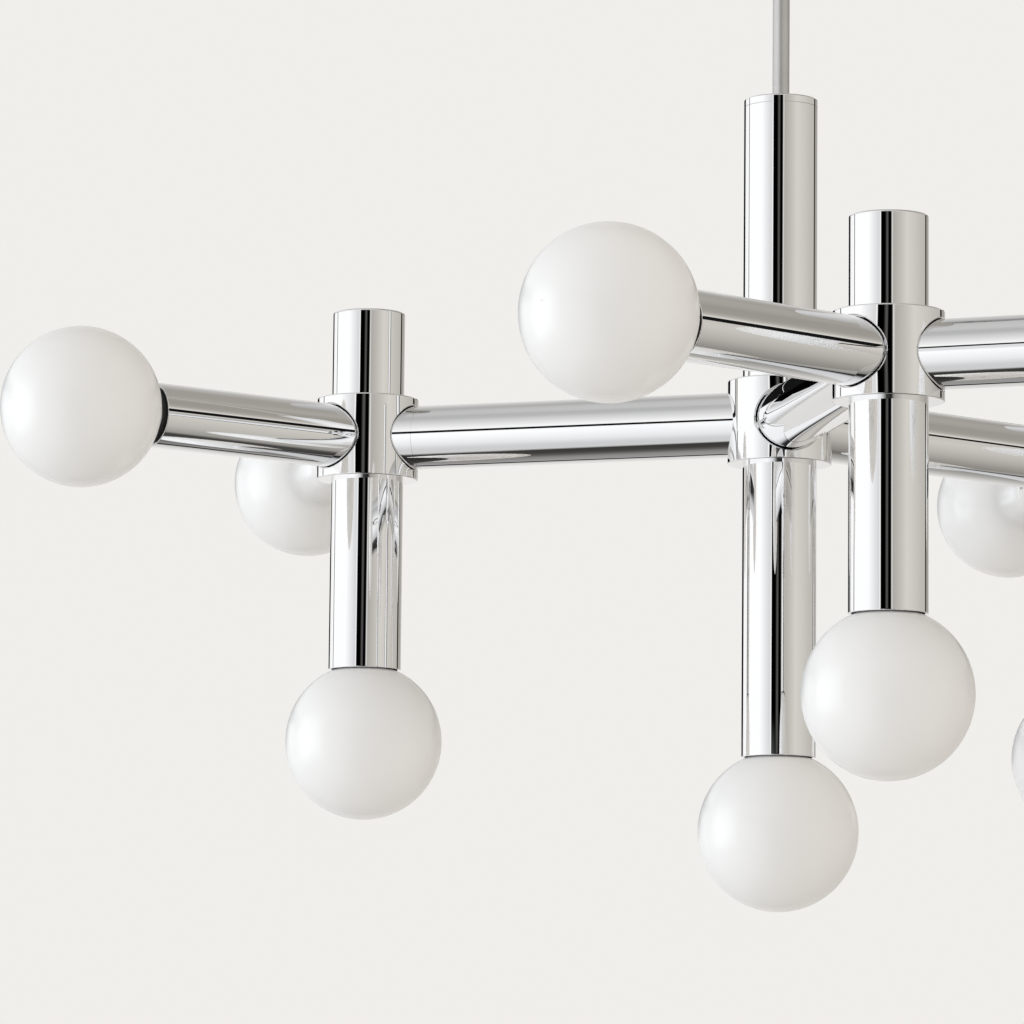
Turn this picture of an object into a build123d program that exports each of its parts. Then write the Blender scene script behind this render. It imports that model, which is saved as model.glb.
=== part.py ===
from build123d import *
from math import cos, radians, sin
import os

os.makedirs("parts", exist_ok=True)

# Multi arm chandelier, in millimetres, +Z up. The origin is the centre of the ceiling face:
# everything hangs below z = 0. Three arms leave a centre hub at 120 degrees. Each ends in a
# hub with a closed stub on top, a lamp tube hanging down and two level lamp tubes.

# Layout
ARM_ANGLES = {"front": 270, "left": 150, "right": 30}
BRANCH_TURNS = {"a": 58, "b": -58}
arm_reach = 222          # centre hub axis to outer hub axis
branch_reach = 177       # outer hub axis to the centre of a level globe
drop_reach = 156         # outer hub centre down to the centre of its globe
center_drop_reach = 205  # centre hub centre down to the centre of its globe
stub_top = 66            # outer hub centre up to the top of its stub
column_top = 165         # centre hub centre up to the top of the column cap

# Hubs and tubes
hub_radius = 26
hub_height = 42
hub_bore_radius = 16
hub_edge = 0.6
pocket_floor = 18.5      # hub axis to the flat floor of the pocket that a level tube stands in
pocket_gap = 0.45        # around a level tube in its pocket
pocket_edge = 0.6        # rounding of the pocket's mouth
end_gap = 0.05           # between a level tube's end and the pocket's floor
tube_wall = 1.5
seam_at = 30             # outer hub axis to the fine seam of an arm tube's end collar
seam_width = 0.3
seam_depth = 0.15
upright_radius = 18.5    # column, stubs and hanging lamp tubes
level_radius = 16.25     # arms and level lamp tubes
rim_edge = 0.35
stub_lid = 3
boss_height = 10         # threaded boss under a stub's lid and under the column cap
boss_wall = 4
stub_edge = 1.0
column_cap_height = 4
column_cap_edge = 0.8
column_cap_groove = 0.15
spigot_depth = 5
fit_gap = 0.05           # between parts that slide together

# Threaded pipe and its fittings, all of one nominal thread
pipe_radius = 5
pipe_bore_radius = 3.6
thread_gap = 0.05
hub_seat = 17            # hub axis to the flat seat of a hub nut
hub_seat_radius = 8.5
hub_nut_height = 3
nut_flats = 14
plug_start = 28          # hub axis to the near face of a tube plug
plug_length = 8
nipple_start = 13        # hub axis to the inner end of a hub nipple
nipple_grip = 7          # thread of a hub nipple inside its plug
window_radius = 2.6

# Globe lamp and its socket, measured from the centre of the globe along the lamp's axis
globe_radius = 40
glass_wall = 1.0
neck_radius = 13.2
neck_start = 42
base_start = 48
base_end = 75.5
base_radius = 12.6
base_wall = 0.9
base_cone = 5.5          # from the end of the threaded sleeve to the tip of the contact
base_cone_height = 4
contact_radius = 4.5
ridge_count = 5
ridge_pitch = 3.6
ridge_half_width = 1.1
first_ridge = 4          # base's rim to the middle of its first ridge
thread_ridge = 0.4
glass_skirt = 5          # glass inside the base's sleeve
globe_ends = 24          # degrees from the lamp's axis at which the globe turns into the neck
bore_ends = 21           # the same inside the glass
level_rim = 41.5         # globe centre to the end of a level lamp tube
upright_rim = 36.8       # globe centre to the end of a hanging lamp tube
socket_radius = 14.3
socket_mouth = 39.3      # the socket's black collar stands just proud of a level tube's end
socket_back = 82
socket_floor = 5
shell_mouth = 47.5
shell_radius = 13.9
shell_wall = 0.5
mount_back = 88
mount_height = 4
lead_radius = 1.8

# Suspension
rod_radius = 4.25
rod_bore_radius = 3
rod_length = 300
rod_thread = 8
canopy_radius = 63.5
canopy_depth = 28
canopy_wall = 1.2
canopy_corner = 6
crossbar_length = 110
crossbar_width = 22
crossbar_thickness = 2.5
crossbar_corner = 5
slot_spacing = 88.9
slot_length = 14
slot_width = 4.6
ground_screw_at = 22
ground_hole_radius = 2.05
ground_shank_radius = 2
ground_head_radius = 4
ground_head_height = 2.5
ground_head_edge = 1.2
driver_slot = (5.5, 0.9, 1.2)  # length, width and depth
nipple_nut_height = 5
canopy_nut_height = 7
canopy_nut_radius = 11
canopy_nut_edge = 1.2
canopy_hole_gap = 0.3
swivel_gap = 0.3
swivel_radius = 12.5
swivel_cap_height = 10.5
swivel_cap_roof = 6
swivel_cap_wall = 2.5
swivel_cap_edge = 2
swivel_cup_edge = 1.5
ceiling_nipple_stands = 3.5  # end of the ceiling nipple above the swivel cap's lower face
ball_radius = 9
ball_below_cap = 6.2     # swivel cap's lower face to the ball's centre
cup_below_ball = 5.5     # ball's centre to the cup's lower face

# Heights worked out from the chain of pieces that hang from the ceiling
canopy_nut_low = -canopy_depth - canopy_nut_height
swivel_top = canopy_nut_low - swivel_gap
swivel_cap_low = swivel_top - swivel_cap_height
ball_level = swivel_cap_low - ball_below_cap
rod_top = ball_level - 2
rod_low = rod_top - rod_length
column_top_level = rod_low + rod_thread
hub_level = column_top_level - column_top
pipe_into_socket = 3


def direction(angle):
    """Level unit vector at an angle from +X."""
    return Vector(cos(radians(angle)), sin(radians(angle)), 0)


def keep(builder, name):
    """Labels a finished piece and writes it."""
    builder.part.label = name
    export_step(builder.part, f"parts/{name}.step")


def ring(plane, start, end, outer, inner):
    """Adds a straight tube between two distances along a plane's normal."""
    with BuildSketch(plane.offset(start)) as section:
        Circle(outer)
        Circle(inner, mode=Mode.SUBTRACT)
    extrude(section.sketch, amount=end - start)


def hex_nut(plane, start, height, flats):
    """Adds a hexagon nut with a plain bore along a plane's normal."""
    with BuildSketch(plane.offset(start)) as section:
        RegularPolygon(flats / 2, 6, major_radius=False)
        Circle(pipe_radius + thread_gap, mode=Mode.SUBTRACT)
    extrude(section.sketch, amount=height)


CENTER = Vector(0, 0, hub_level)
outer_hub = {arm: CENTER + direction(angle) * arm_reach for arm, angle in ARM_ANGLES.items()}

# Each hub has three level holes: the centre hub's face the arms, an outer hub's face the
# arm that carries it and its two level lamp tubes.
hub_holes = {"center": (CENTER, list(ARM_ANGLES.values()))}
for arm, angle in ARM_ANGLES.items():
    hub_holes[arm] = (outer_hub[arm], [angle + 180] + [angle + turn for turn in BRANCH_TURNS.values()])

# Each lamp has a plane at its globe's centre whose normal points back along its tube.
lamps = {"center_down": Plane(CENTER - Vector(0, 0, center_drop_reach), z_dir=(0, 0, 1))}
for arm, angle in ARM_ANGLES.items():
    lamps[f"{arm}_down"] = Plane(outer_hub[arm] - Vector(0, 0, drop_reach), z_dir=(0, 0, 1))
    for side, turn in BRANCH_TURNS.items():
        out = direction(angle + turn)
        lamps[f"{arm}_{side}"] = Plane(outer_hub[arm] + out * branch_reach, z_dir=-out)


# ---------------------------------------------------------------- ceiling fitting
with BuildPart() as ceiling_crossbar:
    with BuildSketch(Plane.XY.offset(-crossbar_thickness)):
        RectangleRounded(crossbar_length, crossbar_width, crossbar_corner)
        Circle(pipe_radius + thread_gap, mode=Mode.SUBTRACT)
        with GridLocations(slot_spacing, 0, 2, 1):
            SlotOverall(slot_length, slot_width, mode=Mode.SUBTRACT)
        with Locations((ground_screw_at, 0)):
            Circle(ground_hole_radius, mode=Mode.SUBTRACT)
    extrude(amount=crossbar_thickness)
keep(ceiling_crossbar, "ceiling_crossbar")

with BuildPart() as ground_screw:
    slot_long, slot_wide, slot_deep = driver_slot
    with BuildSketch(Plane.XY.offset(-crossbar_thickness)):
        with Locations((ground_screw_at, 0)):
            Circle(ground_head_radius)
    extrude(amount=-ground_head_height)
    fillet(ground_screw.faces().sort_by(Axis.Z)[0].edges(), ground_head_edge)
    with BuildSketch(Plane.XY.offset(-crossbar_thickness)):
        with Locations((ground_screw_at, 0)):
            Circle(ground_shank_radius)
    extrude(amount=crossbar_thickness)
    with BuildSketch(Plane.XY.offset(-crossbar_thickness - ground_head_height)):
        with Locations((ground_screw_at, 0)):
            Rectangle(slot_long, slot_wide)
    extrude(amount=slot_deep, mode=Mode.SUBTRACT)
keep(ground_screw, "ground_screw")

with BuildPart() as ceiling_nipple:
    ring(Plane.XY, -swivel_gap, swivel_cap_low + ceiling_nipple_stands, pipe_radius, pipe_bore_radius)
keep(ceiling_nipple, "ceiling_nipple")

with BuildPart() as nipple_nuts:
    hex_nut(Plane.XY, -crossbar_thickness, -nipple_nut_height, nut_flats)
    hex_nut(Plane.XY, -canopy_depth + canopy_wall, nipple_nut_height, nut_flats)
keep(nipple_nuts, "nipple_nuts")

with BuildPart() as ceiling_canopy:
    with BuildSketch(Plane.XY.offset(-canopy_depth)):
        Circle(canopy_radius)
    extrude(amount=canopy_depth)
    fillet(ceiling_canopy.faces().sort_by(Axis.Z)[0].edges(), canopy_corner)
    offset(amount=-canopy_wall, openings=ceiling_canopy.faces().sort_by(Axis.Z)[-1])
    with BuildSketch(Plane.XY.offset(-canopy_depth)):
        Circle(pipe_radius + canopy_hole_gap)
    extrude(amount=canopy_depth / 2, mode=Mode.SUBTRACT)
keep(ceiling_canopy, "ceiling_canopy")

with BuildPart() as canopy_nut:
    ring(Plane.XY, canopy_nut_low, -canopy_depth, canopy_nut_radius, pipe_radius + thread_gap)
    rim = canopy_nut.edges().filter_by(GeomType.CIRCLE).group_by(SortBy.RADIUS)[-1]
    fillet(rim, canopy_nut_edge)
keep(canopy_nut, "canopy_nut")

# ---------------------------------------------------------------- swivel
with BuildPart() as swivel_cap:
    ring(Plane.XY, swivel_cap_low, swivel_top, swivel_radius, pipe_radius + thread_gap)
    fillet(swivel_cap.faces().sort_by(Axis.Z)[-1].outer_wire().edges(), swivel_cap_edge)
    with BuildSketch(Plane.XY.offset(swivel_cap_low)):
        Circle(swivel_radius - swivel_cap_wall)
    extrude(amount=swivel_cap_height - swivel_cap_roof, mode=Mode.SUBTRACT)
keep(swivel_cap, "swivel_cap")

with BuildPart() as swivel_cup:
    with BuildSketch(Plane.XY.offset(ball_level - cup_below_ball)):
        Circle(swivel_radius)
    extrude(amount=cup_below_ball + ball_below_cap)
    fillet(swivel_cup.faces().sort_by(Axis.Z)[0].edges(), swivel_cup_edge)
    with BuildSketch(Plane.XY.offset(ball_level)):
        Circle(ball_radius + swivel_gap)
    extrude(amount=ball_below_cap, mode=Mode.SUBTRACT)
    with Locations((0, 0, ball_level)):
        Sphere(ball_radius + swivel_gap, mode=Mode.SUBTRACT)
keep(swivel_cup, "swivel_cup")

with BuildPart() as swivel_ball:
    with Locations((0, 0, ball_level)):
        Sphere(ball_radius)
    with BuildSketch(Plane.XY.offset(ball_level - ball_radius)):
        Circle(rod_radius + thread_gap)
    extrude(amount=rod_top - ball_level + ball_radius, mode=Mode.SUBTRACT)
    with BuildSketch(Plane.XY.offset(ball_level - ball_radius)):
        Circle(rod_bore_radius)
    extrude(amount=2 * ball_radius, mode=Mode.SUBTRACT)
keep(swivel_ball, "swivel_ball")

with BuildPart() as down_rod:
    ring(Plane.XY, rod_low, rod_top, rod_radius, rod_bore_radius)
keep(down_rod, "down_rod")

# ---------------------------------------------------------------- column
column_cap_low = column_top_level - column_cap_height
center_pipe_top = rod_low - 1

with BuildPart() as column_cap:
    with BuildSketch(Plane.XY.offset(column_cap_low)):
        Circle(upright_radius)
    extrude(amount=column_cap_height)
    fillet(column_cap.faces().sort_by(Axis.Z)[-1].edges(), column_cap_edge)
    with BuildSketch(Plane.XY.offset(column_cap_low)):
        Circle(upright_radius - tube_wall - fit_gap)
    extrude(amount=-spigot_depth)
    with BuildSketch(Plane.XY.offset(column_cap_low - spigot_depth)):
        Circle(pipe_radius + boss_wall)
    extrude(amount=-boss_height)
    with BuildSketch(Plane.XY.offset(rod_low)):
        Circle(rod_radius + thread_gap)
    extrude(amount=column_top_level - rod_low, mode=Mode.SUBTRACT)
    with BuildSketch(Plane.XY.offset(rod_low)):
        Circle(pipe_radius + thread_gap)
    extrude(amount=-2 * boss_height, mode=Mode.SUBTRACT)
keep(column_cap, "column_cap")

upright_bore = upright_radius - tube_wall
hub_top = hub_level + hub_height / 2
hub_low = hub_level - hub_height / 2

with BuildPart() as column_upper_tube:
    ring(Plane.XY, hub_top, column_cap_low - column_cap_groove, upright_radius, upright_bore)
keep(column_upper_tube, "column_upper_tube")

with BuildPart() as column_lower_tube:
    low = hub_level - center_drop_reach + upright_rim
    ring(Plane.XY, low, hub_low, upright_radius, upright_bore)
    fillet(column_lower_tube.faces().sort_by(Axis.Z)[0].edges(), rim_edge)
keep(column_lower_tube, "column_lower_tube")

# ---------------------------------------------------------------- hubs
for where, (center, angles) in hub_holes.items():
    with BuildPart() as hub:
        base = Plane(center)
        ring(base, -hub_height / 2, hub_height / 2, hub_radius, hub_bore_radius)
        rim = hub.edges().filter_by(GeomType.CIRCLE).group_by(SortBy.RADIUS)[-1]
        fillet(rim, hub_edge)
        for angle in angles:
            out = Plane(center, z_dir=direction(angle))
            with BuildSketch(out):
                Circle(pipe_radius + thread_gap)
            extrude(amount=hub_radius + 1, mode=Mode.SUBTRACT)
            with BuildSketch(out):
                Circle(hub_seat_radius)
            extrude(amount=hub_seat, mode=Mode.SUBTRACT)
            with BuildSketch(out.offset(pocket_floor)):
                Circle(level_radius + pocket_gap)
            extrude(amount=hub_radius, mode=Mode.SUBTRACT)
            fillet(hub.edges(Select.LAST).filter_by(GeomType.BSPLINE), pocket_edge)
    keep(hub, "center_hub" if where == "center" else f"outer_hub_{where}")

# ---------------------------------------------------------------- level tubes
level_bore = level_radius - tube_wall
tube_start = pocket_floor + end_gap

for arm, angle in ARM_ANGLES.items():
    with BuildPart() as arm_tube:
        out = Plane(CENTER, z_dir=direction(angle))
        ring(out, tube_start, arm_reach - tube_start, level_radius, level_bore)
        with BuildSketch(out.offset(arm_reach - seam_at)):
            Circle(level_radius + 1)
            Circle(level_radius - seam_depth, mode=Mode.SUBTRACT)
        extrude(amount=seam_width, mode=Mode.SUBTRACT)
    keep(arm_tube, f"arm_tube_{arm}")

    for side, turn in BRANCH_TURNS.items():
        with BuildPart() as branch_tube:
            out = Plane(outer_hub[arm], z_dir=direction(angle + turn))
            ring(out, tube_start, branch_reach - level_rim, level_radius, level_bore)
            end = branch_tube.faces().sort_by(Axis(out.origin, out.z_dir))[-1]
            fillet(end.edges(), rim_edge)
        keep(branch_tube, f"branch_tube_{arm}_{side}")

# ---------------------------------------------------------------- upright tubes of the arms
for arm in ARM_ANGLES:
    foot = Plane(outer_hub[arm])
    with BuildPart() as stub_tube:
        with BuildSketch(foot.offset(hub_height / 2)):
            Circle(upright_radius)
        extrude(amount=stub_top - hub_height / 2)
        fillet(stub_tube.faces().sort_by(Axis.Z)[-1].edges(), stub_edge)
        with BuildSketch(foot.offset(hub_height / 2)):
            Circle(upright_bore)
        extrude(amount=stub_top - hub_height / 2 - stub_lid, mode=Mode.SUBTRACT)
        lid_low = stub_top - stub_lid
        ring(foot, lid_low - boss_height, lid_low, pipe_radius + boss_wall, pipe_radius + thread_gap)
    keep(stub_tube, f"stub_tube_{arm}")

    with BuildPart() as drop_tube:
        ring(foot, -drop_reach + upright_rim, -hub_height / 2, upright_radius, upright_bore)
        fillet(drop_tube.faces().sort_by(Axis.Z)[0].edges(), rim_edge)
    keep(drop_tube, f"drop_tube_{arm}")

# ---------------------------------------------------------------- hidden fittings
with BuildPart() as hub_nipples:
    for center, angles in hub_holes.values():
        for angle in angles:
            out = Plane(center, z_dir=direction(angle))
            ring(out, nipple_start, plug_start + nipple_grip, pipe_radius, pipe_bore_radius)
keep(hub_nipples, "hub_nipples")

with BuildPart() as hub_nuts:
    for center, angles in hub_holes.values():
        for angle in angles:
            out = Plane(center, z_dir=direction(angle))
            hex_nut(out, hub_seat - hub_nut_height, hub_nut_height, nut_flats)
keep(hub_nuts, "hub_nuts")

with BuildPart() as tube_plugs:
    for center, angles in hub_holes.values():
        for angle in angles:
            out = Plane(center, z_dir=direction(angle))
            ring(out, plug_start, plug_start + plug_length, level_bore - fit_gap, pipe_radius + thread_gap)
keep(tube_plugs, "tube_plugs")

# One long pipe clamps the column and each outer hub together, with side windows for the
# wires at hub height. A short pipe holds each level socket to its mount.
socket_pipe_end = socket_back - pipe_into_socket
with BuildPart() as tie_pipes:
    pipe_top = {arm: stub_top - stub_lid - 1 for arm in ARM_ANGLES}
    pipe_top["center"] = center_pipe_top - hub_level
    reach = {arm: drop_reach for arm in ARM_ANGLES}
    reach["center"] = center_drop_reach
    for where, (center, angles) in hub_holes.items():
        ring(Plane(center), socket_pipe_end - reach[where], pipe_top[where], pipe_radius, pipe_bore_radius)
        for angle in angles:
            with BuildSketch(Plane(center, z_dir=direction(angle))):
                Circle(window_radius)
            extrude(amount=pipe_radius + 1, mode=Mode.SUBTRACT)
    for arm in ARM_ANGLES:
        for side in BRANCH_TURNS:
            ring(lamps[f"{arm}_{side}"], socket_pipe_end, mount_back + 2, pipe_radius, pipe_bore_radius)
keep(tie_pipes, "tie_pipes")

with BuildPart() as socket_mounts:
    for name, lamp in lamps.items():
        bore = upright_bore if name.endswith("down") else level_bore
        ring(lamp, mount_back - mount_height, mount_back, bore - fit_gap, pipe_radius + thread_gap)
keep(socket_mounts, "socket_mounts")

with BuildPart() as lamp_sockets:
    for lamp in lamps.values():
        ring(lamp, socket_mouth, socket_back - socket_floor, socket_radius, shell_radius + thread_gap)
        floor = socket_back - socket_floor
        ring(lamp, floor, socket_back, socket_radius, pipe_radius + thread_gap)
keep(lamp_sockets, "lamp_sockets")

with BuildPart() as socket_shells:
    for lamp in lamps.values():
        shell_low = socket_back - socket_floor
        ring(lamp, shell_mouth, shell_low - shell_wall, shell_radius, shell_radius - shell_wall)
        ring(lamp, shell_low - shell_wall, shell_low, shell_radius, pipe_bore_radius)
keep(socket_shells, "socket_shells")

# The wires run as one harness: down the rod, along the arms, and out to every socket.
harness_top = ball_level + ball_radius - 1
harness_low = hub_level - center_drop_reach + socket_back
with BuildPart() as wiring_harness:
    with BuildSketch(Plane.XY.offset(harness_low)):
        Circle(lead_radius)
    extrude(amount=harness_top - harness_low)
    for arm, angle in ARM_ANGLES.items():
        with BuildSketch(Plane(CENTER, z_dir=direction(angle))):
            Circle(lead_radius)
        extrude(amount=arm_reach)
        with BuildSketch(Plane(outer_hub[arm])):
            Circle(lead_radius)
        extrude(amount=socket_back - drop_reach)
        for turn in BRANCH_TURNS.values():
            with BuildSketch(Plane(outer_hub[arm], z_dir=direction(angle + turn))):
                Circle(lead_radius)
            extrude(amount=branch_reach - socket_back)
keep(wiring_harness, "wiring_harness")


# ---------------------------------------------------------------- lamps
def lathe_frame(lamp):
    """Plane through a lamp's axis: its Y runs back along the lamp and its X is the radius."""
    return Plane(lamp.origin, x_dir=lamp.x_dir, z_dir=-lamp.y_dir)


def polar(radius, angle):
    """Point of a lamp's profile at an angle from the end of its axis that carries the base."""
    return (radius * sin(radians(angle)), radius * cos(radians(angle)))


sleeve_radius = base_radius - base_wall
skirt_outer = sleeve_radius - fit_gap
skirt_inner = skirt_outer - glass_wall
skirt_end = base_start + glass_skirt
inner_radius = globe_radius - glass_wall

for name, lamp in lamps.items():
    with BuildPart() as bulb_globe:
        with BuildSketch(lathe_frame(lamp)):
            with BuildLine():
                foot = (neck_radius, neck_start)
                rise = polar(globe_radius, globe_ends)
                globe = ThreePointArc((0, -globe_radius), (globe_radius, 0), rise)
                Spline(rise, foot, tangents=(globe % 1, (0, 1)))
                inner_foot = (skirt_inner, neck_start)
                inner_rise = polar(inner_radius, bore_ends)
                Polyline(foot, (neck_radius, base_start), (skirt_outer, base_start),
                         (skirt_outer, skirt_end), (skirt_inner, skirt_end), inner_foot)
                inner_globe = ThreePointArc((0, -inner_radius), (inner_radius, 0), inner_rise)
                Spline(inner_rise, inner_foot, tangents=(inner_globe % 1, (0, 1)))
                Line((0, -inner_radius), (0, -globe_radius))
            make_face()
        revolve(axis=Axis(lamp.origin, lamp.z_dir))
    keep(bulb_globe, f"bulb_globe_{name}")

    with BuildPart() as bulb_base:
        ring(lamp, base_start + fit_gap, base_end - base_cone, base_radius, sleeve_radius)
        for ridge in range(ridge_count):
            middle = base_start + first_ridge + ridge_pitch * ridge
            with BuildSketch(lathe_frame(lamp)):
                with Locations((base_radius, middle)):
                    Ellipse(thread_ridge, ridge_half_width)
                with Locations((base_radius - base_wall / 2, middle)):
                    Rectangle(base_wall, 2 * ridge_half_width)
            revolve(axis=Axis(lamp.origin, lamp.z_dir))
        with BuildSketch(lamp.offset(base_end - base_cone)):
            Circle(base_radius)
        extrude(amount=base_cone_height, taper=50)
        with BuildSketch(lamp.offset(base_end - base_cone + base_cone_height)):
            Circle(contact_radius)
        extrude(amount=base_cone - base_cone_height, taper=20)
    keep(bulb_base, f"bulb_base_{name}")
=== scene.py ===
from math import cos, pi, radians, sin

import bpy
from mathutils import Matrix, Vector


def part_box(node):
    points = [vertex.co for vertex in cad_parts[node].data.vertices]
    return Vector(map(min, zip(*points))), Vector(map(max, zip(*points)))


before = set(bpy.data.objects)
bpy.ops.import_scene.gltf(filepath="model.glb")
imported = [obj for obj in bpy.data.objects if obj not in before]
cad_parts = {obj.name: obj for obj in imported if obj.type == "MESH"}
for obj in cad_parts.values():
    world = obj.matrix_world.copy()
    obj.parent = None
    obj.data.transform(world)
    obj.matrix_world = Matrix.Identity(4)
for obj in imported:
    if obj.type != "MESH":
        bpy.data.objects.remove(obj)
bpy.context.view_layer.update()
scene = bpy.context.scene

# Places that the studio and the camera are set out from, in metres.
low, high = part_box("center_hub")
hub_center = (low + high) / 2

# The camera stands below the hub, in front and to the left, and looks up a little.
CAMERA_FROM_HUB = Vector((-0.5982, -2.5868, -0.3812))
CAMERA_YAW = 10.13      # degrees, from +Y towards +X
CAMERA_PITCH = 7.2      # degrees above the level
CAMERA_ROLL = 0.58      # degrees, the camera's right side raised
LENS = 187.61           # millimetres on a 36 mm sensor
FLOOR_BELOW_CEILING = 4
FLOOR_RADIUS = 30
FLOOR_SIDES = 64
FLOOR_GLOW = 0.42


# ---------------------------------------------------------------- node tree builder
class Graph:
    """Builds one node tree, a call for each node."""

    def __init__(self, tree):
        self.tree = tree
        tree.nodes.clear()

    def node(self, kind, inputs=None, **settings):
        made = self.tree.nodes.new(kind)
        for name, value in settings.items():
            setattr(made, name, value)
        for name, value in (inputs or {}).items():
            self.feed(made.inputs[name], value)
        return made

    def feed(self, socket, value):
        """Links an output to a socket, or sets the socket's own value."""
        if isinstance(value, bpy.types.NodeSocket):
            self.tree.links.new(value, socket)
        else:
            socket.default_value = value

    def math(self, operation, a, b=0.0, clamp=False):
        inputs = {0: a, 1: b}
        return self.node("ShaderNodeMath", inputs, operation=operation, use_clamp=clamp).outputs[0]

    def span(self, value, low, high, to_low=0.0, to_high=1.0):
        """Maps low..high to to_low..to_high, held at both ends."""
        inputs = {"Value": value, "From Min": low, "From Max": high, "To Min": to_low, "To Max": to_high}
        return self.node("ShaderNodeMapRange", inputs).outputs["Result"]

    def ramp(self, value, stops):
        made = self.node("ShaderNodeValToRGB", {"Fac": value})
        elements = made.color_ramp.elements
        elements.remove(elements[1])
        for number, (place, color) in enumerate(stops):
            element = elements.new(place) if number else elements[0]
            element.position = place
            element.color = (*color, 1)
        return made.outputs["Color"]

    def mix(self, factor, a, b, blend="MIX"):
        made = self.node("ShaderNodeMix", data_type="RGBA", blend_type=blend)
        self.feed(made.inputs["Factor"], factor)
        for name, value in (("A", a), ("B", b)):
            socket = [s for s in made.inputs if s.name == name and s.type == "RGBA"][0]
            self.feed(socket, value if isinstance(value, bpy.types.NodeSocket) else (*value, 1))
        return [s for s in made.outputs if s.type == "RGBA"][0]


def grey(level, warmth=0.0):
    """Colour of a display brightness from 0 to 255, warmed by a few steps of it."""
    return tuple((max(level + warmth * side, 0) / 255) ** 2.2 for side in (1 / 3, 0, -2 / 3))


# ---------------------------------------------------------------- studio
BACKDROP = (238, 5)

# The room that the object reflects. Azimuths are in degrees from the side where the photographer
# stands, negative to their left, and heights are in degrees above the level. Each brightness is as
# on a display, from 0 to 255 or a little more for a lamp, with its warmth after it.
# Upper walls, as the upright tubes see them: a soft white light to the left, and a dark stand
# behind the camera.
UPPER_WALLS = [(-180, 246, 3), (-160, 246, 2), (-130, 256, 0), (-122, 262, 0), (-64, 262, 0),
               (-55, 251, -1), (-47, 240, -1), (-38, 228, -1), (-31, 219, -1), (-29, 222, 0), (-28, 255, 0),
               (-26.5, 255, 0), (-25.5, 0, 0), (-13, 2, 0), (-11, 56, 2), (-7.5, 94, 2), (-5, 56, 2),
               (-3.5, 3, 0), (4, 2, 0), (5.2, 226, 5), (7, 216, 7), (9, 172, 9), (30, 192, 11),
               (50, 212, 11), (75, 203, 11), (100, 192, 11), (128, 184, 11), (142, 160, 11),
               (152, 158, 11), (165, 205, 8), (180, 246, 4)]
# Darker upright stretches of them: azimuth, half width and brightness.
UPRIGHT_LINES = [(-164, 16, 12), (-120, 2, 110), (131.5, 4.4, 16), (180, 9, 12)]
# Lower walls, as the level tubes see them.
LOWER_WALLS = [(-180, 240, 4), (-150, 225, 3), (-121, 262, 0), (-60, 264, 0), (-40, 264, -2),
               (-24, 225, -1), (-10, 60, 0), (5, 40, 0), (12, 160, 8), (40, 205, 11), (80, 206, 11),
               (100, 190, 11), (116, 176, 11), (134, 165, 11), (160, 200, 8), (180, 240, 4)]
# How the lower walls dim downwards: height and share.
WALL_FALL = [(-90, 0.78), (-52, 0.79), (-46, 0.8), (-38, 0.855), (-31, 0.9), (-16, 0.955), (-8, 0.98),
             (-1, 1.0)]
WALLS_MEET = 3                           # height where the upper walls start
CORNICE_LOW, CORNICE_HIGH = 12.6, 17.2   # dark shadow gap between wall and ceiling
# Ceiling by height on the key side and on the far side, and the key side's share by azimuth.
CEILING_KEY = [(16, 264), (22, 256), (30, 243), (38, 227), (46, 211), (54, 190), (62, 182), (70, 200),
               (90, 204)]
CEILING_FAR = [(16, 256), (18, 216), (24, 172), (30, 155), (40, 152), (48, 168), (54, 158), (70, 156),
               (90, 204)]
CEILING_SIDE = [(-180, 0.6), (-150, 0.8), (-60, 1.0), (10, 0.5), (70, 0.0), (150, 0.0), (180, 0.6)]
# The dark floor by azimuth, and the height where it meets the wall.
FLOOR = [(-180, 150), (-166, 150), (-155, 138), (-130, 95), (-100, 68), (-60, 60), (0, 45), (100, 60),
         (116, 76), (128, 38), (135, 38), (142, 70), (155, 125), (171, 125), (180, 150)]
FLOOR_EDGE = [(-180, -47), (-166, -48), (-150, -56), (-120, -61), (-60, -62), (-30, -61), (60, -51),
              (116, -49), (142, -47), (156, -46), (180, -47)]
# A low dark shape stands far behind the object, between these heights and this far to both sides.
BEHIND_LOW, BEHIND_HIGH, BEHIND_WIDE = -46, -39, 14
CORNICE_LEVEL, BEHIND_LEVEL = 28, 8      # brightness of the gap and of the dark shape
EDGE_SOFT = 0.025                        # half of the blend from floor to wall, as a share of 90 degrees


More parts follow.
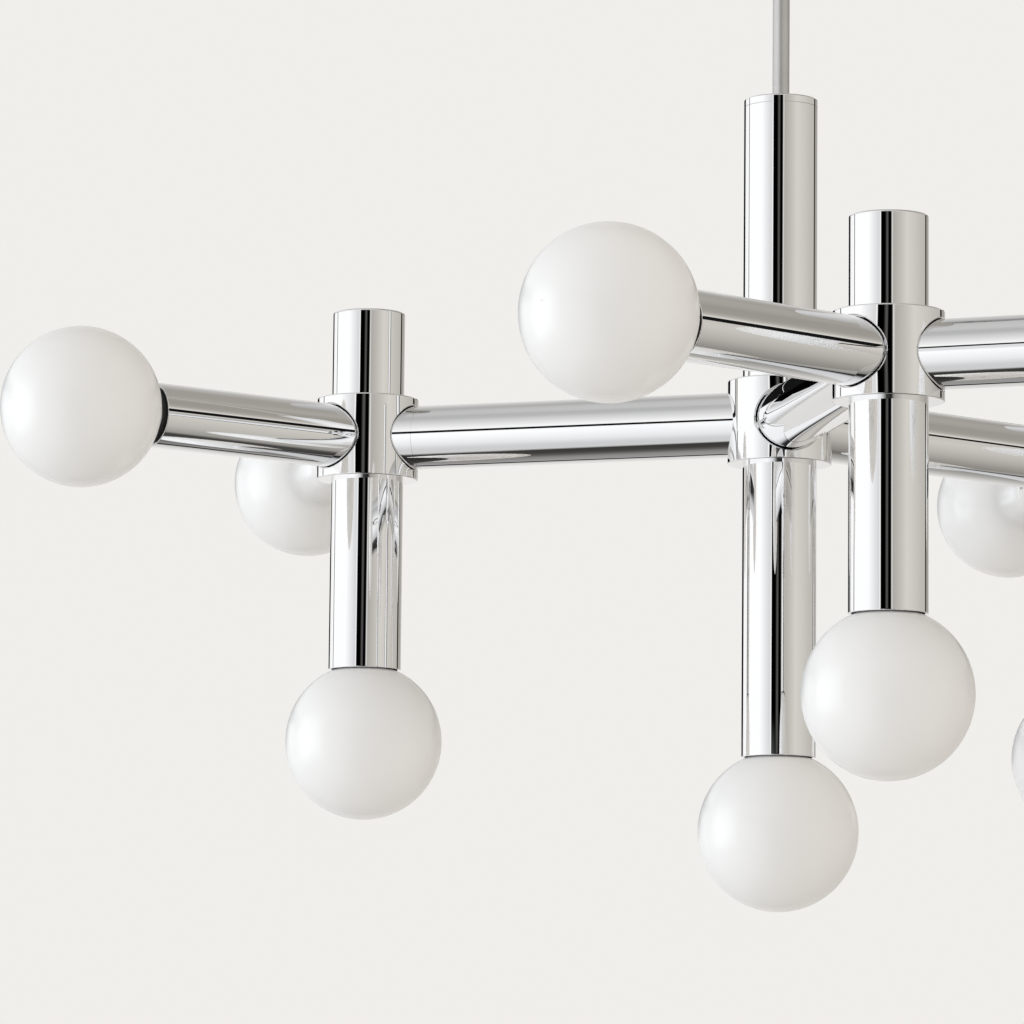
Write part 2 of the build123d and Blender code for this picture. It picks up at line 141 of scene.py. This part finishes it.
def studio_world():
    """White room seen by the camera as a plain backdrop, and by the object as a lit studio."""
    world = bpy.data.worlds.new("studio")
    world.use_nodes = True
    scene.world = world
    g = Graph(world.node_tree)

    toward = g.node("ShaderNodeTexCoord").outputs["Generated"]
    turned = g.node("ShaderNodeVectorRotate", {"Vector": toward, "Angle": radians(CAMERA_YAW)},
                    rotation_type="Z_AXIS").outputs[0]
    axes = g.node("ShaderNodeSeparateXYZ", {0: turned}).outputs
    azimuth = g.math("ARCTAN2", axes["X"], g.math("MULTIPLY", axes["Y"], -1.0))
    height = g.math("ARCSINE", axes["Z"])
    around = g.span(azimuth, -pi, pi)
    up = g.span(height, -pi / 2, pi / 2)

    def by_azimuth(stops):
        return g.ramp(around, [(a / 360 + 0.5, color) for a, color in stops])

    def by_height(stops):
        return g.ramp(up, [(e / 180 + 0.5, color) for e, color in stops])

    def shares(stops):
        return [(place, (share,) * 3) for place, share in stops]

    def above(edge, soft):
        return g.span(height, radians(edge - soft), radians(edge + soft))

    upper = by_azimuth([(a, grey(level, warmth)) for a, level, warmth in UPPER_WALLS])
    for place, half, level in UPRIGHT_LINES:
        off = g.math("ABSOLUTE", g.math("SUBTRACT", azimuth, radians(place)))
        line = g.span(off, radians(half - 0.4), radians(half + 0.4), 1.0, 0.0)
        upper = g.mix(line, upper, grey(level))
    lower = by_azimuth([(a, grey(level, warmth)) for a, level, warmth in LOWER_WALLS])
    fall = by_height([(e, (share ** 2.2,) * 3) for e, share in WALL_FALL])
    lower = g.mix(1.0, lower, fall, "MULTIPLY")
    key = by_height([(e, grey(level)) for e, level in CEILING_KEY])
    far = by_height([(e, grey(level, 11)) for e, level in CEILING_FAR])
    ceiling = g.mix(by_azimuth(shares(CEILING_SIDE)), far, key)
    floor = by_azimuth([(a, grey(level, 3)) for a, level in FLOOR])
    edge = by_azimuth(shares([(a, e / 90 + 1) for a, e in FLOOR_EDGE]))
    climb = g.math("ADD", g.math("MULTIPLY", height, 2 / pi), 1.0)
    on_wall = g.span(g.math("SUBTRACT", climb, edge), -EDGE_SOFT, EDGE_SOFT)

    room = g.mix(on_wall, floor, lower)
    away = g.math("SUBTRACT", pi, g.math("ABSOLUTE", azimuth))
    narrow = g.span(away, radians(BEHIND_WIDE - 2), radians(BEHIND_WIDE + 2), 1.0, 0.0)
    band = g.math("SUBTRACT", above(BEHIND_LOW, 1), above(BEHIND_HIGH, 1))
    room = g.mix(g.math("MULTIPLY", narrow, band), room, grey(BEHIND_LEVEL))
    room = g.mix(above(WALLS_MEET, 2), room, upper)
    room = g.mix(above(CORNICE_LOW, 0.3), room, grey(CORNICE_LEVEL))
    room = g.mix(above(CORNICE_HIGH, 0.3), room, ceiling)

    seen = g.node("ShaderNodeLightPath").outputs["Is Camera Ray"]
    lit = g.node("ShaderNodeBackground", {"Color": room})
    plain = g.node("ShaderNodeBackground", {"Color": (*grey(*BACKDROP), 1)})
    mixed = g.node("ShaderNodeMixShader", {0: seen, 1: lit.outputs[0], 2: plain.outputs[0]})
    g.node("ShaderNodeOutputWorld", {"Surface": mixed.outputs[0]})


# Soft square lights that fall on the globes alone, since the chrome gets its light from the room:
# azimuth, height, width in metres, radiance and warmth.
LIGHT_DISTANCE = 3
GLOBE_LIGHTS = {
    "key": (-88, 0, 2.1, 2.0, -0.08),
    "front": (-15, 0, 3.2, 0.78, 0.0),
    "left_low": (-75, -50, 3.0, 0.37, -0.05),
    "right_low": (75, -50, 3.0, 0.68, 0.12),
    "right_high": (75, 50, 3.0, 0.9, 0.08),
    "back": (180, 0, 3.2, 0.8, 0.0),
}


def globe_lights():
    """Square soft lights round the object, linked to the lamp globes."""
    globes = bpy.data.collections.new("globes")
    for name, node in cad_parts.items():
        if name.startswith("bulb_globe"):
            globes.objects.link(node)
    for name, (turn, height, width, radiance, warmth) in GLOBE_LIGHTS.items():
        data = bpy.data.lights.new(name, "AREA")
        data.size = width
        data.energy = radiance * pi * width ** 2
        data.color = (1 + warmth, 1, 1 - warmth)
        turn, height = radians(turn - CAMERA_YAW), radians(height)
        toward = Vector((sin(turn) * cos(height), -cos(turn) * cos(height), sin(height)))
        light = bpy.data.objects.new(name, data)
        light.location = hub_center + toward * LIGHT_DISTANCE
        light.rotation_euler = toward.to_track_quat("Z", "Y").to_euler()
        light.visible_camera = False
        light.visible_glossy = name == "key"
        light.light_linking.receiver_collection = globes
        scene.collection.objects.link(light)


def pale_floor():
    """Round pale floor below the ceiling face, lit a little for the camera alone."""
    mesh = bpy.data.meshes.new("floor")
    turns = [2 * pi * i / FLOOR_SIDES for i in range(FLOOR_SIDES)]
    ring = [(FLOOR_RADIUS * cos(turn), FLOOR_RADIUS * sin(turn), -FLOOR_BELOW_CEILING) for turn in turns]
    mesh.from_pydata(ring, [], [range(FLOOR_SIDES)])
    floor = bpy.data.objects.new("floor", mesh)
    scene.collection.objects.link(floor)
    made, g = material("pale_floor")
    place = g.node("ShaderNodeTexCoord").outputs["Object"]
    cloud = g.node("ShaderNodeTexNoise", {"Vector": place, "Scale": 1.5, "Detail": 4.0}).outputs["Fac"]
    paint = g.ramp(cloud, [(0.3, grey(236, 2)), (0.7, grey(240, 2))])
    # The camera sees the floor as bright as the backdrop. Everything else sees its plain paint.
    seen = g.node("ShaderNodeLightPath").outputs["Is Camera Ray"]
    glow = g.math("MULTIPLY", seen, FLOOR_GLOW)
    inputs = {"Base Color": paint, "Roughness": 0.8, "Emission Color": paint, "Emission Strength": glow}
    surface = g.node("ShaderNodeBsdfPrincipled", inputs)
    g.node("ShaderNodeOutputMaterial", {"Surface": surface.outputs[0]})
    mesh.materials.append(made)
    floor.visible_glossy = False


def camera():
    """Camera at the photographer's place."""
    yaw, pitch, roll = (radians(v) for v in (CAMERA_YAW, CAMERA_PITCH, CAMERA_ROLL))
    forward = Vector((sin(yaw) * cos(pitch), cos(yaw) * cos(pitch), sin(pitch)))
    right = Vector((cos(yaw), -sin(yaw), 0))
    upward = right.cross(forward)
    rolled_right = right * cos(roll) + upward * sin(roll)
    rolled_up = upward * cos(roll) - right * sin(roll)
    data = bpy.data.cameras.new("camera")
    data.lens = LENS
    data.clip_end = 100
    made = bpy.data.objects.new("camera", data)
    scene.collection.objects.link(made)
    turn = Matrix((rolled_right, rolled_up, -forward)).transposed()
    made.matrix_world = Matrix.Translation(hub_center + CAMERA_FROM_HUB) @ turn.to_4x4()
    scene.camera = made


# ---------------------------------------------------------------- materials
def material(name):
    made = bpy.data.materials.new(name)
    made.use_nodes = True
    return made, Graph(made.node_tree)


def finish_surface(g, inputs, bump=None, strength=0.1, distance=0.0001):
    """Adds the shader and, where there is one, the bump under it."""
    surface = g.node("ShaderNodeBsdfPrincipled", inputs)
    if bump is not None:
        relief = g.node("ShaderNodeBump", {"Height": bump, "Strength": strength, "Distance": distance})
        g.feed(surface.inputs["Normal"], relief.outputs[0])
    g.node("ShaderNodeOutputMaterial", {"Surface": surface.outputs[0]})


def noise(g, place, scale, detail=3.0, roughness=0.5):
    inputs = {"Vector": place, "Scale": scale, "Detail": detail, "Roughness": roughness}
    return g.node("ShaderNodeTexNoise", inputs).outputs["Fac"]


def polished_chrome():
    """Mirror chrome with a faint bloom of handling haze and hairline polishing marks."""
    made, g = material("polished_chrome")
    place = g.node("ShaderNodeTexCoord").outputs["Object"]
    bloom = noise(g, place, 9.0, 5.0, 0.6)
    smudge = noise(g, place, 60.0, 2.0)
    rough = g.span(g.math("MULTIPLY", bloom, smudge), 0.22, 0.42, 0.012, 0.03)
    tint = g.ramp(bloom, [(0.3, (0.925, 0.93, 0.94)), (0.7, (0.945, 0.945, 0.95))])
    finish_surface(g, {"Base Color": tint, "Metallic": 1.0, "Roughness": rough})
    return made


def opal_glass():
    """Satin white glass of an unlit globe lamp."""
    made, g = material("opal_glass")
    place = g.node("ShaderNodeTexCoord").outputs["Object"]
    cloud = noise(g, place, 14.0, 3.0)
    grain = noise(g, place, 900.0, 2.0)
    paint = g.ramp(cloud, [(0.3, (0.90, 0.895, 0.885)), (0.7, (0.915, 0.91, 0.9))])
    rough = g.span(grain, 0.3, 0.7, 0.22, 0.27)
    finish_surface(g, {"Base Color": paint, "Roughness": rough, "IOR": 1.5}, grain, 0.04, 0.00005)
    return made


def brushed(name, dark, light, low_rough, high_rough, metallic=1.0):
    """Plain turned or drawn metal, or moulded plastic where metallic is 0."""
    made, g = material(name)
    place = g.node("ShaderNodeTexCoord").outputs["Object"]
    cloud = noise(g, place, 40.0, 4.0)
    grain = noise(g, place, 700.0, 2.0)
    paint = g.ramp(cloud, [(0.3, dark), (0.7, light)])
    rough = g.span(grain, 0.3, 0.7, low_rough, high_rough)
    finish_surface(g, {"Base Color": paint, "Metallic": metallic, "Roughness": rough}, grain, 0.15)
    return made


FINISHES = {
    "chrome": polished_chrome,
    "opal_glass": opal_glass,
    "satin_nickel": lambda: brushed("satin_rod", (0.78, 0.78, 0.77), (0.84, 0.84, 0.83), 0.34, 0.42),
    "steel": lambda: brushed("zinc_steel", (0.50, 0.50, 0.49), (0.60, 0.60, 0.60), 0.32, 0.45),
    "nickel": lambda: brushed("threaded_nickel", (0.74, 0.73, 0.70), (0.80, 0.79, 0.77), 0.22, 0.32),
    "green_screw": lambda: brushed("green_screw", (0.02, 0.22, 0.07), (0.03, 0.28, 0.09), 0.35, 0.5),
    "socket_black": lambda: brushed(
        "black_phenolic", (0.012, 0.012, 0.012), (0.02, 0.02, 0.02), 0.4, 0.55, 0.0),
    "brass": lambda: brushed("brass", (0.62, 0.47, 0.20), (0.72, 0.56, 0.27), 0.25, 0.38),
    "bulb_metal": lambda: brushed("bulb_base_metal", (0.70, 0.70, 0.70), (0.78, 0.78, 0.78), 0.22, 0.35),
    "wire": lambda: brushed("wire_sleeve", (0.72, 0.72, 0.70), (0.80, 0.80, 0.78), 0.4, 0.5, 0.0),
}


def dress_nodes():
    """Gives every CAD node the finish of its material slot, whose name its packed material has."""
    finishes = {}
    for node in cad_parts.values():
        slot = node.data.materials[0].name.split(".")[0]
        if slot not in finishes:
            finishes[slot] = FINISHES[slot]()
        node.data.materials.clear()
        node.data.materials.append(finishes[slot])


camera()
studio_world()
globe_lights()
pale_floor()
scene.view_settings.view_transform = "Standard"
dress_nodes()
